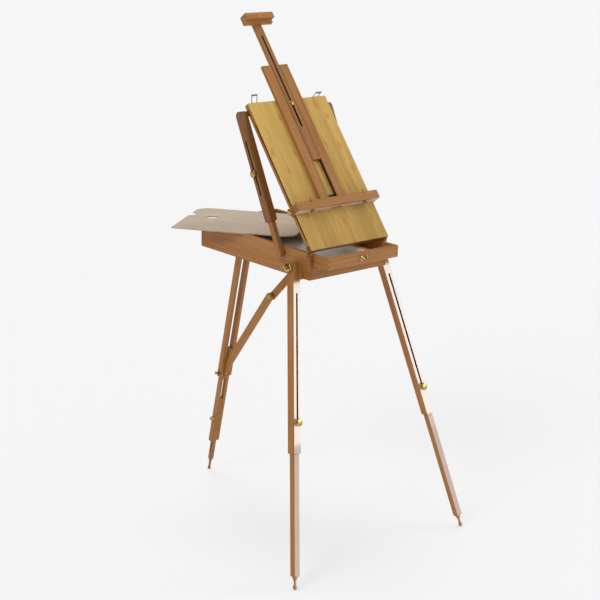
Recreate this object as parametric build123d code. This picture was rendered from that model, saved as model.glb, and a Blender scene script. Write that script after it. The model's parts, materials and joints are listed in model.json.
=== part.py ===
"""A wooden sketch-box easel on three telescoping legs, standing open for use.

Millimetres, +Z up, +Y away from the painter.  Pieces are drawn with Y = 0 at the front of the box
and Z = 0 on the floor; `save` then moves them so that the origin is the middle of the footprint.
"""
from build123d import *
from math import atan2, cos, degrees, hypot, radians, sin
import os

# ---- driving dimensions ------------------------------------------------------------------
BOX_LENGTH = 560.0          # front to back
BOX_HALF = 166.5            # half the width over the sides
BOX_BOTTOM = 920.0
BOX_TOP = 1007.5
WALL = 13.0
RAIL_TOP = 962.0            # top of the front rail, under the drawer

DRAWER_OUT = 69.0           # how far the drawer stands open
DRAWER_HALF = 152.0
DRAWER_BOTTOM = 965.0
DRAWER_TOP = 1003.5
DRAWER_LENGTH = 540.0

LID_TILT = 52.0             # degrees from level
LID_AXIS = (0.0, 7.0, 1007.5)
LID_HALF = 165.5
LID_LENGTH = 531.0
LID_THICK = 20.0
PANEL_THICK = 4.0
STILE = 26.0                # width of the frame members under the panel
SIDE_SLOT = (35.0, 458.0)   # ends of the slot along each stile
SLOT_HEIGHT = 12.5          # its middle, above the underside

TRAY_LOW, TRAY_HIGH = 127.0, 156.0      # along the lid
TRAY_HALF = 174.0
FACE_GAP = 0.5
SEAT = 0.5                  # depth of the step that the mast stands in
MAST_TOP = 655.0
MAST_HALF = 53.5
CHANNEL_HALF = 17.8
TONGUE = 3.0                # how far the slider's tongues run into the rails
MAST_THICK = 11.0
SLIDER_LOW, SLIDER_TOP = 300.0, 838.0
SLIDER_SLOT = (422.0, 768.0)
SLIDER_BOLT = 511.0
HOLDER_HALF = 58.5

STRUT_LID_PIVOT = (504.0, -12.0)        # along the lid, above its underside
STRUT_BOX_PIVOT = (123.0, 985.0)        # Y, Z
STRUT_X = (169.3, 196.0)
STRUT_DEPTH = 30.0
STRUT_SLEEVE = 367.0
STRUT_SLOT = (83.0, 262.0)              # down the strut from its upper pivot
STRUT_SCREW = 192.0

LEG_PIVOT = (-187.6, 53.0, 954.0)
LEG_FOOT = (-376.6, -206.0, 7.0)        # centre of the ball foot
LEG_WIDE, LEG_DEEP = 28.0, 30.0
LEG_SLEEVE = 583.0
LEG_SLOT = (80.0, 492.0)
LEG_KNOB = 485.0
EXT_WIDE, EXT_DEEP = 20.0, 22.0
EXT_TOP, EXT_SQUARE = 470.0, 964.0

REAR_PIVOT = (528.4, 904.0)             # Y, Z
REAR_FOOT = (725.0, 6.0)
REAR_RAIL = (11.5, 25.5)                # inner and outer face of each rail
REAR_DEEP = 20.0
REAR_BOLT = 505.0
REAR_CLAMP = 700.0
REAR_EXTENSION_TOP = 616.0
REAR_LOWER_END = 797.0
LOWER_HALF, LOWER_DEEP = 18.5, 16.0
REAR_GROOVE_HALF = 7.8
BRACE_PIVOT = (232.0, 904.0)            # Y, Z
BRACE_KNEE = (384.0, 751.6)
BRACE_DEEP = 28.0

PALETTE_TURN = -54.3
BOLT = 4.0
CLEAR = 0.05                            # radial clearance of a bolt in its hole
GAP = 0.4                               # between flat faces that slide
SCREW = 2.2                             # clamping screws
PIN = 3.0                               # pins of the struts, brace and rear leg
FOOTPRINT_Y = 259.0                     # middle of the footprint behind the box front


# ---- small helpers -----------------------------------------------------------------------
def block(x, y, z):
    """A box from three (low, high) pairs."""
    lows, highs = zip(*(sorted(pair) for pair in (x, y, z)))
    size = [high - low for low, high in zip(lows, highs)]
    middle = tuple((low + high) / 2 for low, high in zip(lows, highs))
    return Pos(*middle) * Box(*size)


def rod(start, end, radius):
    """A round bar between two points."""
    start, end = Vector(*start), Vector(*end)
    way = end - start
    return Plane(origin=start, z_dir=way).location * Cylinder(
        radius, way.length, align=(Align.CENTER, Align.CENTER, Align.MIN))


def along_x(radius, y, z, x):
    """A round bar that lies along X between two values of X."""
    return rod((min(x), y, z), (max(x), y, z), radius)


def slot_cut(half, ends, depth):
    """A slot along Z with round ends, cut through the Y range given."""
    low, high = sorted(ends)
    cut = block((-half, half), depth, (low + half, high - half))
    for z in (low + half, high - half):
        cut += rod((0, min(depth), z), (0, max(depth), z), half)
    return cut


def other_side(solid):
    """The same piece on the right-hand side."""
    return mirror(solid, about=Plane.YZ)


def turned_knob(radius, height, bore):
    """A brass head turned to a soft mushroom, standing on Z = 0 and bored through."""
    outline = Polyline((bore, 0), (radius * 0.62, 0), (radius * 0.62, height * 0.22),
                       (radius, height * 0.42), (radius, height * 0.72))
    crown = RadiusArc((radius, height * 0.72), (bore, height), -radius * 1.25)
    face = make_face(Plane.XZ * (outline + crown + Line((bore, height), (bore, 0))))
    return revolve(face, Axis.Z)


def thumb_screw(reach, stem, radius=12.5):
    """A clamping screw: mushroom head above Z = 0 and a stem that goes `reach` below it."""
    return turned_knob(radius, 12, stem) + Pos(0, 0, (7 - reach) / 2) * Cylinder(stem, 7 + reach)


def link(start, end, half, x, radius, ends=None):
    """A flat bar with round ends between two (Y, Z) pivots, bored at both."""
    length = hypot(end[0] - start[0], end[1] - start[1])
    turn = degrees(atan2(end[1] - start[1], end[0] - start[0]))
    bar = block(x, (0, length), (-half, half))
    bar += along_x(half, 0, 0, x) + along_x(half, length, 0, x)
    for y in (0, length):
        bar -= along_x(radius, y, 0, (min(x) - 1, max(x) + 1))
    return Location((0, start[0], start[1]), (turn, 0, 0)) * bar


ON_LID = Plane(origin=LID_AXIS, x_dir=(1, 0, 0),
               z_dir=(0, -sin(radians(LID_TILT)), cos(radians(LID_TILT)))).location
LEG_DOWN = (Vector(*LEG_FOOT) - Vector(*LEG_PIVOT)).normalized()
LEG_AXIS = LEG_DOWN.cross(Vector(0, 1, 0)).normalized()
ON_LEG = Plane(origin=LEG_PIVOT, x_dir=LEG_AXIS, z_dir=-LEG_DOWN).location
LEG_LENGTH = (Vector(*LEG_FOOT) - Vector(*LEG_PIVOT)).length
REAR_LENGTH = hypot(REAR_FOOT[0] - REAR_PIVOT[0], REAR_FOOT[1] - REAR_PIVOT[1])
REAR_LEAN = degrees(atan2(REAR_FOOT[0] - REAR_PIVOT[0], REAR_PIVOT[1] - REAR_FOOT[1]))
ON_REAR = Location((0, REAR_PIVOT[0], REAR_PIVOT[1]), (REAR_LEAN, 0, 0))
PARTS = {}


def save(node, *solids):
    """Keep one node's solids, moved to the footprint's middle."""
    placed = [Pos(0, -FOOTPRINT_Y, 0) * one for shape in solids for one in shape.solids()]
    PARTS[node] = placed[0] if len(placed) == 1 else Compound(children=placed)


# ---- the box -----------------------------------------------------------------------------
def make_box():
    inner = BOX_HALF - WALL
    side = block((-BOX_HALF, -inner), (0, BOX_LENGTH), (BOX_BOTTOM, BOX_TOP))
    side -= block((-inner - 5, -inner + 1), (WALL, BOX_LENGTH - WALL), (BOX_BOTTOM + 4, BOX_BOTTOM + 9))
    side -= ON_LEG * rod((-60, 0, 0), (60, 0, 0), BOLT)
    save("box_side_left", side)
    save("box_side_right", other_side(side))
    back = block((-inner, inner), (BOX_LENGTH - WALL, BOX_LENGTH), (BOX_BOTTOM, BOX_TOP))
    save("box_back", back)
    save("box_front_rail", block((-inner, inner), (0, WALL), (BOX_BOTTOM, RAIL_TOP)))
    save("box_bottom", block((-inner - 4.8, inner + 4.8), (WALL, BOX_LENGTH - WALL),
                             (BOX_BOTTOM + 4.1, BOX_BOTTOM + 8.9)))
    runner = block((-inner, -inner + 14), (WALL, BOX_LENGTH - WALL), (BOX_BOTTOM + 9, DRAWER_BOTTOM - GAP))
    save("drawer_runners", runner, other_side(runner))
    beside_leg = ON_LEG * block((LEG_WIDE / 2 + 0.3, 80), (-17, 17), (-60, 60))
    wedge = beside_leg & block((-240, -BOX_HALF), (-20, 120), (BOX_BOTTOM, BOX_TOP))
    wedge -= ON_LEG * rod((-60, 0, 0), (60, 0, 0), BOLT)
    save("leg_wedges", wedge, other_side(wedge))
    y, z = REAR_PIVOT
    rear = block((-10.8, 10.8), (y - 12, y + 12), (z, BOX_BOTTOM)) + along_x(12, y, z, (-10.8, 10.8))
    rear -= along_x(PIN, y, z, (-20, 20))
    y2, z2 = BRACE_PIVOT
    hanger = block((0.4, 3.2), (y2 - 9, y2 + 9), (z2, BOX_BOTTOM)) + along_x(9, y2, z2, (0.4, 3.2))
    hanger += block((0.4, 11), (y2 - 9, y2 + 9), (BOX_BOTTOM - 1.5, BOX_BOTTOM))
    hanger += along_x(2.9, y2, z2, (0.4, 11.2))
    save("under_brackets", rear, hanger)
    bolt = ON_LEG * (rod((-47, 0, 0), (30, 0, 0), BOLT) + Pos(-47, 0, 0) * Sphere(BOLT))
    save("pivot_bolts", bolt, other_side(bolt), along_x(PIN, y, z, (-27, 27)))
    catch = block((-137, -123), (BOX_LENGTH, BOX_LENGTH + 1.5), (985, 1003))
    catch += rod((-130, BOX_LENGTH + 1.5, 994), (-130, BOX_LENGTH + 6, 994), 2.2)
    catch += rod((-130, BOX_LENGTH + 6, 994), (-130, BOX_LENGTH + 8, 994), 3.6)
    save("box_catches", catch, other_side(catch))


# ---- the drawer --------------------------------------------------------------------------
def make_drawer():
    front = -DRAWER_OUT
    back = front + DRAWER_LENGTH
    thick = 9.0
    save("drawer_front", block((-DRAWER_HALF, DRAWER_HALF), (front, front + 14), (DRAWER_BOTTOM, DRAWER_TOP)))
    side = block((-DRAWER_HALF, -DRAWER_HALF + thick), (front + 14, back), (DRAWER_BOTTOM, DRAWER_TOP))
    rear = block((-DRAWER_HALF + thick, DRAWER_HALF - thick), (back - thick, back),
                 (DRAWER_BOTTOM, DRAWER_TOP - 3))
    save("drawer_walls", side, other_side(side), rear)
    inner = DRAWER_HALF - thick
    floor = DRAWER_BOTTOM + 5
    save("drawer_bottom", block((-inner, inner), (front + 14, back - thick), (DRAWER_BOTTOM + 1, floor)))
    liner = block((-inner, 40), (front + 14, back - thick), (floor, DRAWER_TOP - 7))
    liner -= block((-inner + 1, 39), (front + 15, back - thick - 1), (floor + 1, DRAWER_TOP))
    save("drawer_liner", liner)
    long_one = block((40, 46), (front + 14, back - thick), (floor, DRAWER_TOP - 4))
    cross = [block((46, inner), (y, y + 6), (floor, DRAWER_TOP - 6)) for y in (90, 250)]
    save("drawer_dividers", long_one, *cross)
    middle = (DRAWER_BOTTOM + DRAWER_TOP) / 2
    plate = block((-15, 15), (front - 1.2, front), (middle - 5, middle + 5))
    for x in (-10, 10):
        plate += rod((x, front - 1.2, middle), (x, front, middle), 7)
    plate += rod((-10, front - 7, middle), (-10, front - 1, middle), 2)
    plate += Pos(-10, front - 9, middle) * Sphere(5.2)
    plate += rod((10, front - 6, middle), (10, front - 1, middle), 1.8)
    save("drawer_catch_plate", plate)
    hook = rod((10, front - 4.2, middle), (10, front - 1.6, middle), 6.5)
    hook += block((7, 13), (front - 4.2, front - 1.6), (middle, middle + 9))
    hook += rod((10, front - 4.2, middle + 9), (10, front - 1.6, middle + 9), 3)
    hook -= rod((10, front - 5, middle), (10, front, middle), 1.8 + CLEAR)
    save("drawer_catch_hook", hook)


def make_palette():
    """A kidney-ended plywood palette lying loose across the box; u runs along it, v across."""
    near_end, far_end, low, high = -614.0, -195.0, 52.0, 373.0
    board = Pos((near_end + far_end) / 2, (low + high) / 2) * Rectangle(far_end - near_end, high - low)
    order = board.vertices()
    corner = {(round(v.X), round(v.Y)): v for v in order}
    board = fillet([corner[(-614, 373)]], 48)
    corner = {(round(v.X), round(v.Y)): v for v in board.vertices()}
    board = fillet([corner[(-195, 52)]], 42)
    corner = {(round(v.X), round(v.Y)): v for v in board.vertices()}
    board = fillet([corner[(-195, 373)]], 95)
    board -= Pos(near_end - 10, 268) * Ellipse(32, 26)
    board -= Pos(-528, 238) * Rot(0, 0, 24) * Ellipse(24, 16)
    plate = extrude(board, 4.0)
    save("palette", Location((0, 0, BOX_TOP + 0.05), (0, 0, PALETTE_TURN)) * plate)


# ---- the lid -----------------------------------------------------------------------------
def make_lid():
    under = LID_THICK - PANEL_THICK
    stile = block((-LID_HALF, -LID_HALF + STILE), (0, LID_LENGTH), (0, under))
    slot = block((-LID_HALF - 1, -LID_HALF + 12), SIDE_SLOT, (SLOT_HEIGHT - 2.4, SLOT_HEIGHT + 2.4))
    stile -= slot
    ends = [block((-LID_HALF + STILE, LID_HALF - STILE), span, (0, under))
            for span in ((0, STILE), (LID_LENGTH - STILE, LID_LENGTH))]
    save("lid_frame", *[ON_LID * one for one in (stile, other_side(stile), *ends)])
    save("lid_panel", ON_LID * block((-LID_HALF, LID_HALF), (0, LID_LENGTH), (under, LID_THICK)))
    s, h = STRUT_LID_PIVOT
    ear = block((-LID_HALF - 2.6, -LID_HALF), (s - 9, s + 9), (h, 8)) + rod(
        (-LID_HALF - 2.6, s, h), (-LID_HALF, s, h), 9)
    ear += rod((-STRUT_X[1] + 4, s, h), (-LID_HALF, s, h), PIN)
    save("strut_ears", ON_LID * ear, ON_LID * other_side(ear))
    mount = block((-139, -121), (LID_LENGTH, LID_LENGTH + 1.5), (2, 15))
    for x in (-138, -125):
        mount += block((x, x + 3), (LID_LENGTH, LID_LENGTH + 6), (5, 11))
    mount -= rod((-150, LID_LENGTH + 4, 8), (-100, LID_LENGTH + 4, 8), 1.3)
    save("latch_mounts", ON_LID * mount, ON_LID * other_side(mount))


def make_latches():
    """Draw-latch bails: two wires up from a cross wire in the mount, with a thick bar at the end."""
    pivot = (LID_LENGTH + 4, 8)
    cross = rod((-141, 0, 0), (-119, 0, 0), 1.2)
    wires = [rod((x, 0, 0), (x, 0, 26), 1.2) for x in (-141, -119)]
    bar = block((-142.5, -117.5), (-2, 2), (25, 29))
    bail = cross + wires[0] + wires[1] + bar
    place = ON_LID * Pos(0, *pivot)
    save("latch_bail_left", place * Rot(-LID_TILT, 0, 0) * bail)
    save("latch_bail_right", place * Rot(-6, 0, 0) * other_side(bail))


def make_hinges():
    """Two knuckle hinges on the front corners; each pin is fixed in the leaf on the box."""
    y, z = LID_AXIS[1:]
    pin, knuckle = 2.2, 5.0
    leaf, strap_in, strap_out = -BOX_HALF - 2.2, -BOX_HALF - 2.6, -BOX_HALF - 4.6
    plate = block((leaf, -BOX_HALF), (y - knuckle, y + knuckle), (z - 13, z))
    plate += along_x(knuckle, y, z, (leaf, -BOX_HALF))
    plate += along_x(pin, y, z, (strap_out - 1, -BOX_HALF))
    save("hinge_plates_box", plate, other_side(plate))
    strap = block((strap_out, strap_in), (0, 19), (2.5, 11))
    strap += rod((strap_out, 0, 0), (strap_in, 0, 0), knuckle)
    strap += block((strap_out, -LID_HALF), (9, 19), (3, 10))
    strap -= rod((strap_out - 1, 0, 0), (-BOX_HALF + 2, 0, 0), pin + CLEAR)
    save("hinge_straps_lid", ON_LID * strap, ON_LID * other_side(strap))


# ---- the canvas tray, the mast and its slider ---------------------------------------------
def make_tray():
    face = LID_THICK + FACE_GAP
    bar = block((-TRAY_HALF, TRAY_HALF), (TRAY_LOW, TRAY_HIGH), (face, face + 29.5))
    channel = CHANNEL_HALF + TONGUE + GAP
    bar -= block((-channel, channel), (TRAY_LOW - 1, TRAY_HIGH + 1), (face - 1, face + 12))
    bar -= block((-TRAY_HALF - 1, TRAY_HALF + 1), (TRAY_HIGH - SEAT, TRAY_HIGH + 1), (face - 1, face + 12))
    clip_seat = block((-116.6, -109.4), (TRAY_HIGH - 1.6, TRAY_HIGH + 1), (face + 12, face + 30))
    bar -= clip_seat + other_side(clip_seat)
    save("canvas_tray", ON_LID * bar)
    middle = (TRAY_LOW + TRAY_HIGH) / 2
    cheek = block((-TRAY_HALF, -LID_HALF - 0.7), (TRAY_LOW, TRAY_HIGH), (3, face))
    cheek -= rod((-TRAY_HALF - 1, middle, SLOT_HEIGHT), (-LID_HALF + 1, middle, SLOT_HEIGHT), 2.2 + CLEAR)
    save("tray_cheeks", ON_LID * cheek, ON_LID * other_side(cheek))
    screw = Location((-TRAY_HALF - 0.4, middle, SLOT_HEIGHT), (0, -90, 0)) * thumb_screw(16, 2.2, 10.5)
    save("tray_knob_left", ON_LID * screw)
    save("tray_knob_right", ON_LID * other_side(screw))
    clip = block((-116.5, -109.5), (TRAY_HIGH - 1.6, TRAY_HIGH), (face + 13, face + 31))
    clip += block((-116.5, -109.5), (TRAY_HIGH - 6, TRAY_HIGH + 9), (face + 29.5, face + 31))
    save("tray_clips", ON_LID * clip, ON_LID * other_side(clip))
    wing = rod((-113, TRAY_LOW - 12, face + 20), (-113, TRAY_LOW - 0.4, face + 20), 4.6)
    wing += block((-124, -102), (TRAY_LOW - 12, TRAY_LOW - 4), (face + 18.8, face + 21.2))
    wing += rod((-113, TRAY_LOW - 0.5, face + 20), (-113, TRAY_LOW + 14, face + 20), 2)
    wing_cut = rod((-113, TRAY_LOW - 1, face + 20), (-113, TRAY_LOW + 14.5, face + 20), 2 + CLEAR)
    PARTS["canvas_tray"] = PARTS["canvas_tray"] - Pos(0, -FOOTPRINT_Y, 0) * ON_LID * (
        wing_cut + other_side(wing_cut))
    save("tray_wing_left", ON_LID * wing)
    save("tray_wing_right", ON_LID * other_side(wing))


def make_mast():
    face = LID_THICK + FACE_GAP
    front = face + MAST_THICK
    rail = block((-MAST_HALF, -CHANNEL_HALF), (TRAY_HIGH - SEAT, MAST_TOP), (face, front))
    groove = block((-CHANNEL_HALF - TONGUE - GAP, -CHANNEL_HALF + 1), (TRAY_HIGH - 1, MAST_TOP + 1),
                   (face + 6, face + 9.2))
    rail -= groove
    spans = ((500, 524), (TRAY_HIGH - SEAT, TRAY_HIGH + 18))
    cleats = [block((-42, 42), span, (face, face + 3)) for span in spans]
    for cleat in cleats:
        rail -= cleat
    bolt_hole = rod((0, SLIDER_BOLT, face - 1), (0, SLIDER_BOLT, face + 4), 2.4)
    save("mast_rails", *[ON_LID * one for one in (rail, other_side(rail), *[c - bolt_hole for c in cleats])])
    proud = front + GAP
    bolt = rod((0, SLIDER_BOLT, face), (0, SLIDER_BOLT, front + 2), 2.4)
    bolt += Location((0, SLIDER_BOLT, proud + GAP)) * turned_knob(7.5, 5, 2.4)
    save("mast_bolt", ON_LID * bolt)
    half = CHANNEL_HALF - 0.3
    bar = block((-half, half), (SLIDER_LOW, SLIDER_TOP), (face + 3.4, proud))
    bar += block((-half - TONGUE, half + TONGUE), (SLIDER_LOW, MAST_TOP - 30), (face + 6.4, face + 8.8))
    low, high = SLIDER_SLOT
    cut = block((-3.4, 3.4), (low + 3.4, high - 3.4), (face, front + 2))
    for s in (low + 3.4, high - 3.4):
        cut += rod((0, s, face), (0, s, front + 2), 3.4)
    save("mast_slider", ON_LID * (bar - cut))
    back = block((-HOLDER_HALF, HOLDER_HALF), (SLIDER_TOP - 31, SLIDER_TOP), (proud, proud + 13))
    lip = block((-HOLDER_HALF, HOLDER_HALF), (SLIDER_TOP - 21, SLIDER_TOP), (proud + 13, proud + 31))
    save("canvas_holder", ON_LID * (back + lip))


# ---- the lid struts ----------------------------------------------------------------------
def make_struts():
    s, h = STRUT_LID_PIVOT
    tilt = radians(LID_TILT)
    top = (LID_AXIS[1] + s * cos(tilt) - h * sin(tilt), LID_AXIS[2] + s * sin(tilt) + h * cos(tilt))
    foot = STRUT_BOX_PIVOT
    length = hypot(top[0] - foot[0], top[1] - foot[1])
    lean = degrees(atan2(top[0] - foot[0], top[1] - foot[1]))
    place = Location((0, top[0], top[1]), (-lean, 0, 0))
    x_in, x_out = STRUT_X
    middle = (x_in + x_out) / 2
    deep = STRUT_DEPTH / 2
    outer = block((-x_out, -x_in), (-deep, deep), (deep - STRUT_SLEEVE, 0))
    outer += along_x(deep, 0, 0, (-x_out, -x_in))
    outer -= block((-middle - 8.4, -middle + 8.4), (-10.4, 10.4), (-STRUT_SLEEVE, -46))
    high, low = STRUT_SLOT
    outer -= block((-x_out - 1, -middle), (-2.6, 2.6), (-low, -high))
    for end in STRUT_SLOT:
        outer -= along_x(2.6, 0, -end, (-x_out - 1, -middle))
    outer -= along_x(PIN + CLEAR, 0, 0, (-x_out + 3.8, -x_in + 1))
    save("strut_outer_left", place * outer)
    save("strut_outer_right", place * other_side(outer))
    inner = block((-middle - 8, -middle + 8), (-10, 10), (-length, 24 - STRUT_SCREW))
    inner += along_x(10, 0, -length, (-middle - 8, -middle + 8))
    inner -= along_x(SCREW + CLEAR, 0, -STRUT_SCREW, (-middle - 9, -middle + 2))
    inner += along_x(4, 0, -length, (-middle + 8, -BOX_HALF - 0.8))
    save("strut_inner_left", place * inner)
    save("strut_inner_right", place * other_side(inner))
    screw = Location((-x_out - GAP, 0, -STRUT_SCREW), (0, -90, 0)) * thumb_screw(14, SCREW)
    save("strut_knob_left", place * screw)
    save("strut_knob_right", place * other_side(screw))


# ---- the legs ----------------------------------------------------------------------------
def foot_profile(square, half, radius, ball_at):
    """A turned end: a short taper, a thin neck and a teardrop ball, about Z."""
    taper = Pos(0, 0, -square - 8) * Cone(4.2, half, 16)
    neck = rod((0, 0, -square - 10), (0, 0, -ball_at), 4.2)
    drop = Pos(0, 0, -ball_at + radius * 0.9) * Cone(radius * 0.86, 4.2, radius * 1.6)
    return taper + neck + drop + Pos(0, 0, -ball_at) * Sphere(radius)


def make_front_legs():
    half, deep = LEG_WIDE / 2, LEG_DEEP / 2
    sleeve = block((-half, half), (-deep, deep), (-LEG_SLEEVE, 5)) + rod((-half, 0, 5), (half, 0, 5), deep)
    sleeve -= block((-EXT_WIDE / 2 - 0.3, EXT_WIDE / 2 + 0.3), (-EXT_DEEP / 2 - 0.3, EXT_DEEP / 2 + 0.3),
                    (-LEG_SLEEVE - 1, -70))
    sleeve -= slot_cut(2.9, (-LEG_SLOT[0], -LEG_SLOT[1]), (-deep - 1, 0))
    sleeve -= rod((-half - 1, 0, 0), (half + 1, 0, 0), BOLT + CLEAR)
    save("left_leg_sleeve", ON_LEG * sleeve)
    save("right_leg_sleeve", other_side(ON_LEG * sleeve))
    bar = block((-EXT_WIDE / 2, EXT_WIDE / 2), (-EXT_DEEP / 2, EXT_DEEP / 2), (-EXT_SQUARE, -EXT_TOP))
    bar += foot_profile(EXT_SQUARE, EXT_WIDE / 2, 7.0, LEG_LENGTH)
    bar -= rod((0, -EXT_DEEP, -LEG_KNOB), (0, 2, -LEG_KNOB), SCREW + CLEAR)
    save("left_leg_extension", ON_LEG * bar)
    save("right_leg_extension", other_side(ON_LEG * bar))
    screw = Location((0, -deep - GAP, -LEG_KNOB), (90, 0, 0)) * thumb_screw(15, SCREW)
    save("left_leg_knob", ON_LEG * screw)
    save("right_leg_knob", other_side(ON_LEG * screw))
    nut = Location((-half - GAP, 0, 0), (0, -90, 0)) * turned_knob(15, 15, BOLT + CLEAR)
    save("left_pivot_nut", ON_LEG * nut)
    save("right_pivot_nut", other_side(ON_LEG * nut))


def make_rear_leg():
    inside, outside = REAR_RAIL
    deep = REAR_DEEP / 2
    rail = block((-outside, -inside), (-deep, deep), (-REAR_BOLT - 16, 0))
    rail += along_x(deep, 0, 0, (-outside, -inside))
    rail -= along_x(PIN + CLEAR, 0, 0, (-60, 60))
    bolt_hole = along_x(PIN + CLEAR, 0, -REAR_BOLT, (-60, 60))
    rail -= bolt_hole
    save("rear_leg_rails", ON_REAR * rail, ON_REAR * other_side(rail))
    lower_top = -REAR_BOLT - 16
    lower = block((-LOWER_HALF, LOWER_HALF), (-LOWER_DEEP / 2, LOWER_DEEP / 2), (-REAR_LOWER_END, lower_top))
    lower += block((0.6, 11.3), (-LOWER_DEEP / 2, LOWER_DEEP / 2), (lower_top, -407))
    groove = REAR_GROOVE_HALF
    lower -= block((-groove, groove), (-20, 20), (-REAR_LOWER_END - 1, lower_top - 18))
    lower -= rod((0, -20, lower_top - 18), (0, 20, lower_top - 18), groove)
    lower -= bolt_hole
    lower -= along_x(SCREW + CLEAR, 0, -REAR_CLAMP, (-LOWER_HALF - 1, LOWER_HALF + 1))
    save("rear_leg_lower", ON_REAR * lower)
    bolt = along_x(PIN, 0, -REAR_BOLT, (-44, 30)) + along_x(6, 0, -REAR_BOLT, (25.9, 30))
    save("rear_leg_bolt", ON_REAR * bolt)
    nut = Location((-26.0, 0, -REAR_BOLT), (0, -90, 0)) * turned_knob(8, 9, PIN + CLEAR)
    for turn in (200, 340):
        nut += Location((-30, 0, -REAR_BOLT), (turn, 0, 0)) * block((-9, 2), (6, 15), (-1.6, 1.6))
    nut -= bolt_hole
    save("rear_wing_nut", ON_REAR * nut)
    square = REAR_LENGTH - 41
    bar = block((-7.5, 7.5), (-7, 7), (-square, -REAR_EXTENSION_TOP))
    bar += foot_profile(square, 7.0, 6.0, REAR_LENGTH)
    bar -= block((-20, 20), (-2.5, 2.5), (29 - square, -REAR_EXTENSION_TOP - 30))
    save("rear_leg_extension", ON_REAR * bar)
    screw = Location((-LOWER_HALF - GAP, 0, -REAR_CLAMP), (0, -90, 0)) * thumb_screw(40, SCREW, 8.5)
    save("rear_clamp_knob", ON_REAR * screw)


def make_brace():
    """A two-piece stay; the knee is left free of its partner, with the bolt in the lower piece."""
    lean = radians(REAR_LEAN)
    bolt = (REAR_PIVOT[0] + REAR_BOLT * sin(lean), REAR_PIVOT[1] - REAR_BOLT * cos(lean))
    half = BRACE_DEEP / 2
    lower = link(bolt, BRACE_KNEE, half, (-10.2, -0.4), PIN + CLEAR)
    upper = link(BRACE_PIVOT, BRACE_KNEE, half - 1, (3.6, 11.1), PIN + CLEAR)
    y, z = BRACE_KNEE
    save("brace_lower", lower)
    save("brace_upper", upper)
    pin = along_x(PIN, y, z, (-10.5, 2.8)) + along_x(6, y, z, (-11.1, -10.25))
    save("brace_knee_bolt", pin)


for make in (make_box, make_drawer, make_palette, make_lid, make_latches, make_hinges, make_tray,
             make_mast, make_struts, make_front_legs, make_rear_leg, make_brace):
    make()
os.makedirs("parts", exist_ok=True)
for node, shape in PARTS.items():
    export_step(shape, f"parts/{node}.step")
whole = Compound(children=[one for shape in PARTS.values() for one in shape.solids()]).bounding_box()
print("low", whole.min, "high", whole.max)
print("leg axis", LEG_AXIS, "leg down", LEG_DOWN, "length", LEG_LENGTH)
print("rear lean", REAR_LEAN, "length", REAR_LENGTH)
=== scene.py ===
"""The looks of a wooden sketch-box easel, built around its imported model.

Metres, +Z up, +Y away from the painter, +X to the painter's right.  Every piece keeps its place in
its own mesh, and rides on the body that the real one is fixed to.
"""
import json
import bmesh
import bpy
import numpy as np
from mathutils import Matrix, Vector

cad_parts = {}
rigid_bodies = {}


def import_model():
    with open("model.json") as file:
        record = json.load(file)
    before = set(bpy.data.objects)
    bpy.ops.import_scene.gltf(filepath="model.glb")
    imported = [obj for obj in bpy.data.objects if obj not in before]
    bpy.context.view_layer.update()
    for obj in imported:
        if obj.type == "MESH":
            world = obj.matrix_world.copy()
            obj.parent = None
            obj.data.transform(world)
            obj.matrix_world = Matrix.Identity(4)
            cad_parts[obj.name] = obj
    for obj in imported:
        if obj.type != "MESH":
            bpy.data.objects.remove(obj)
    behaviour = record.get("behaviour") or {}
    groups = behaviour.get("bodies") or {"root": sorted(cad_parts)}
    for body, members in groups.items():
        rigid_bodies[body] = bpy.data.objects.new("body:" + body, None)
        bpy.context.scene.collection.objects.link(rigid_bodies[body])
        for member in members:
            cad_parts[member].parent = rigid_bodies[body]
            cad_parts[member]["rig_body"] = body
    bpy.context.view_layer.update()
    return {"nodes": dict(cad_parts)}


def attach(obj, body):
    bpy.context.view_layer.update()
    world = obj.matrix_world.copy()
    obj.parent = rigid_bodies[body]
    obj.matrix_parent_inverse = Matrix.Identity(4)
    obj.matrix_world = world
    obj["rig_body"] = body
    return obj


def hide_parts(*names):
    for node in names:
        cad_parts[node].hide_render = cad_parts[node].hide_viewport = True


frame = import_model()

nodes = frame["nodes"]
MM = 0.001

# ---- box boards -----------------------------------------------------------------------------
# The carcass is oiled and lacquered beech: two long sides, a back, a front rail and a plywood
# bottom let into grooves, glued at the corners, with every arris taken off with sandpaper.


def wire(tree, kind, values=None, **settings):
    """Adds a node; each value is set on its socket, or linked when it is another node's output."""
    made = tree.nodes.new(kind)
    for key, value in settings.items():
        setattr(made, key, value)
    for key, value in (values or {}).items():
        if isinstance(value, bpy.types.NodeSocket):
            tree.links.new(value, made.inputs[key])
        else:
            made.inputs[key].default_value = value
    return made


def sums(tree, operation, *terms):
    """One step of arithmetic on the terms, clamped to nothing; returns its output."""
    return wire(tree, "ShaderNodeMath", dict(enumerate(terms)), operation=operation).outputs[0]


def noise(tree, place, scale, **more):
    """The strength of a noise at a place."""
    return wire(tree, "ShaderNodeTexNoise", {"Vector": place, "Scale": scale, **more}).outputs[0]


def ramped(tree, value, start, full, least=0.0, most=1.0):
    """Carries a value from the span start..full to the span least..most, and stops at its ends."""
    return wire(tree, "ShaderNodeMapRange", {"Value": value, "From Min": start, "From Max": full,
                                             "To Min": least, "To Max": most}).outputs[0]


def blended(tree, factor, first, second):
    """The colour a factor of the way from the first to the second."""
    return wire(tree, "ShaderNodeMix", {"Factor": factor, "A": first, "B": second},
                data_type="RGBA").outputs["Result"]


def along_way(tree, direction, way):
    """How far a direction goes along a way."""
    return wire(tree, "ShaderNodeVectorMath", {0: direction, 1: tuple(way)},
                operation="DOT_PRODUCT").outputs["Value"]


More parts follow.
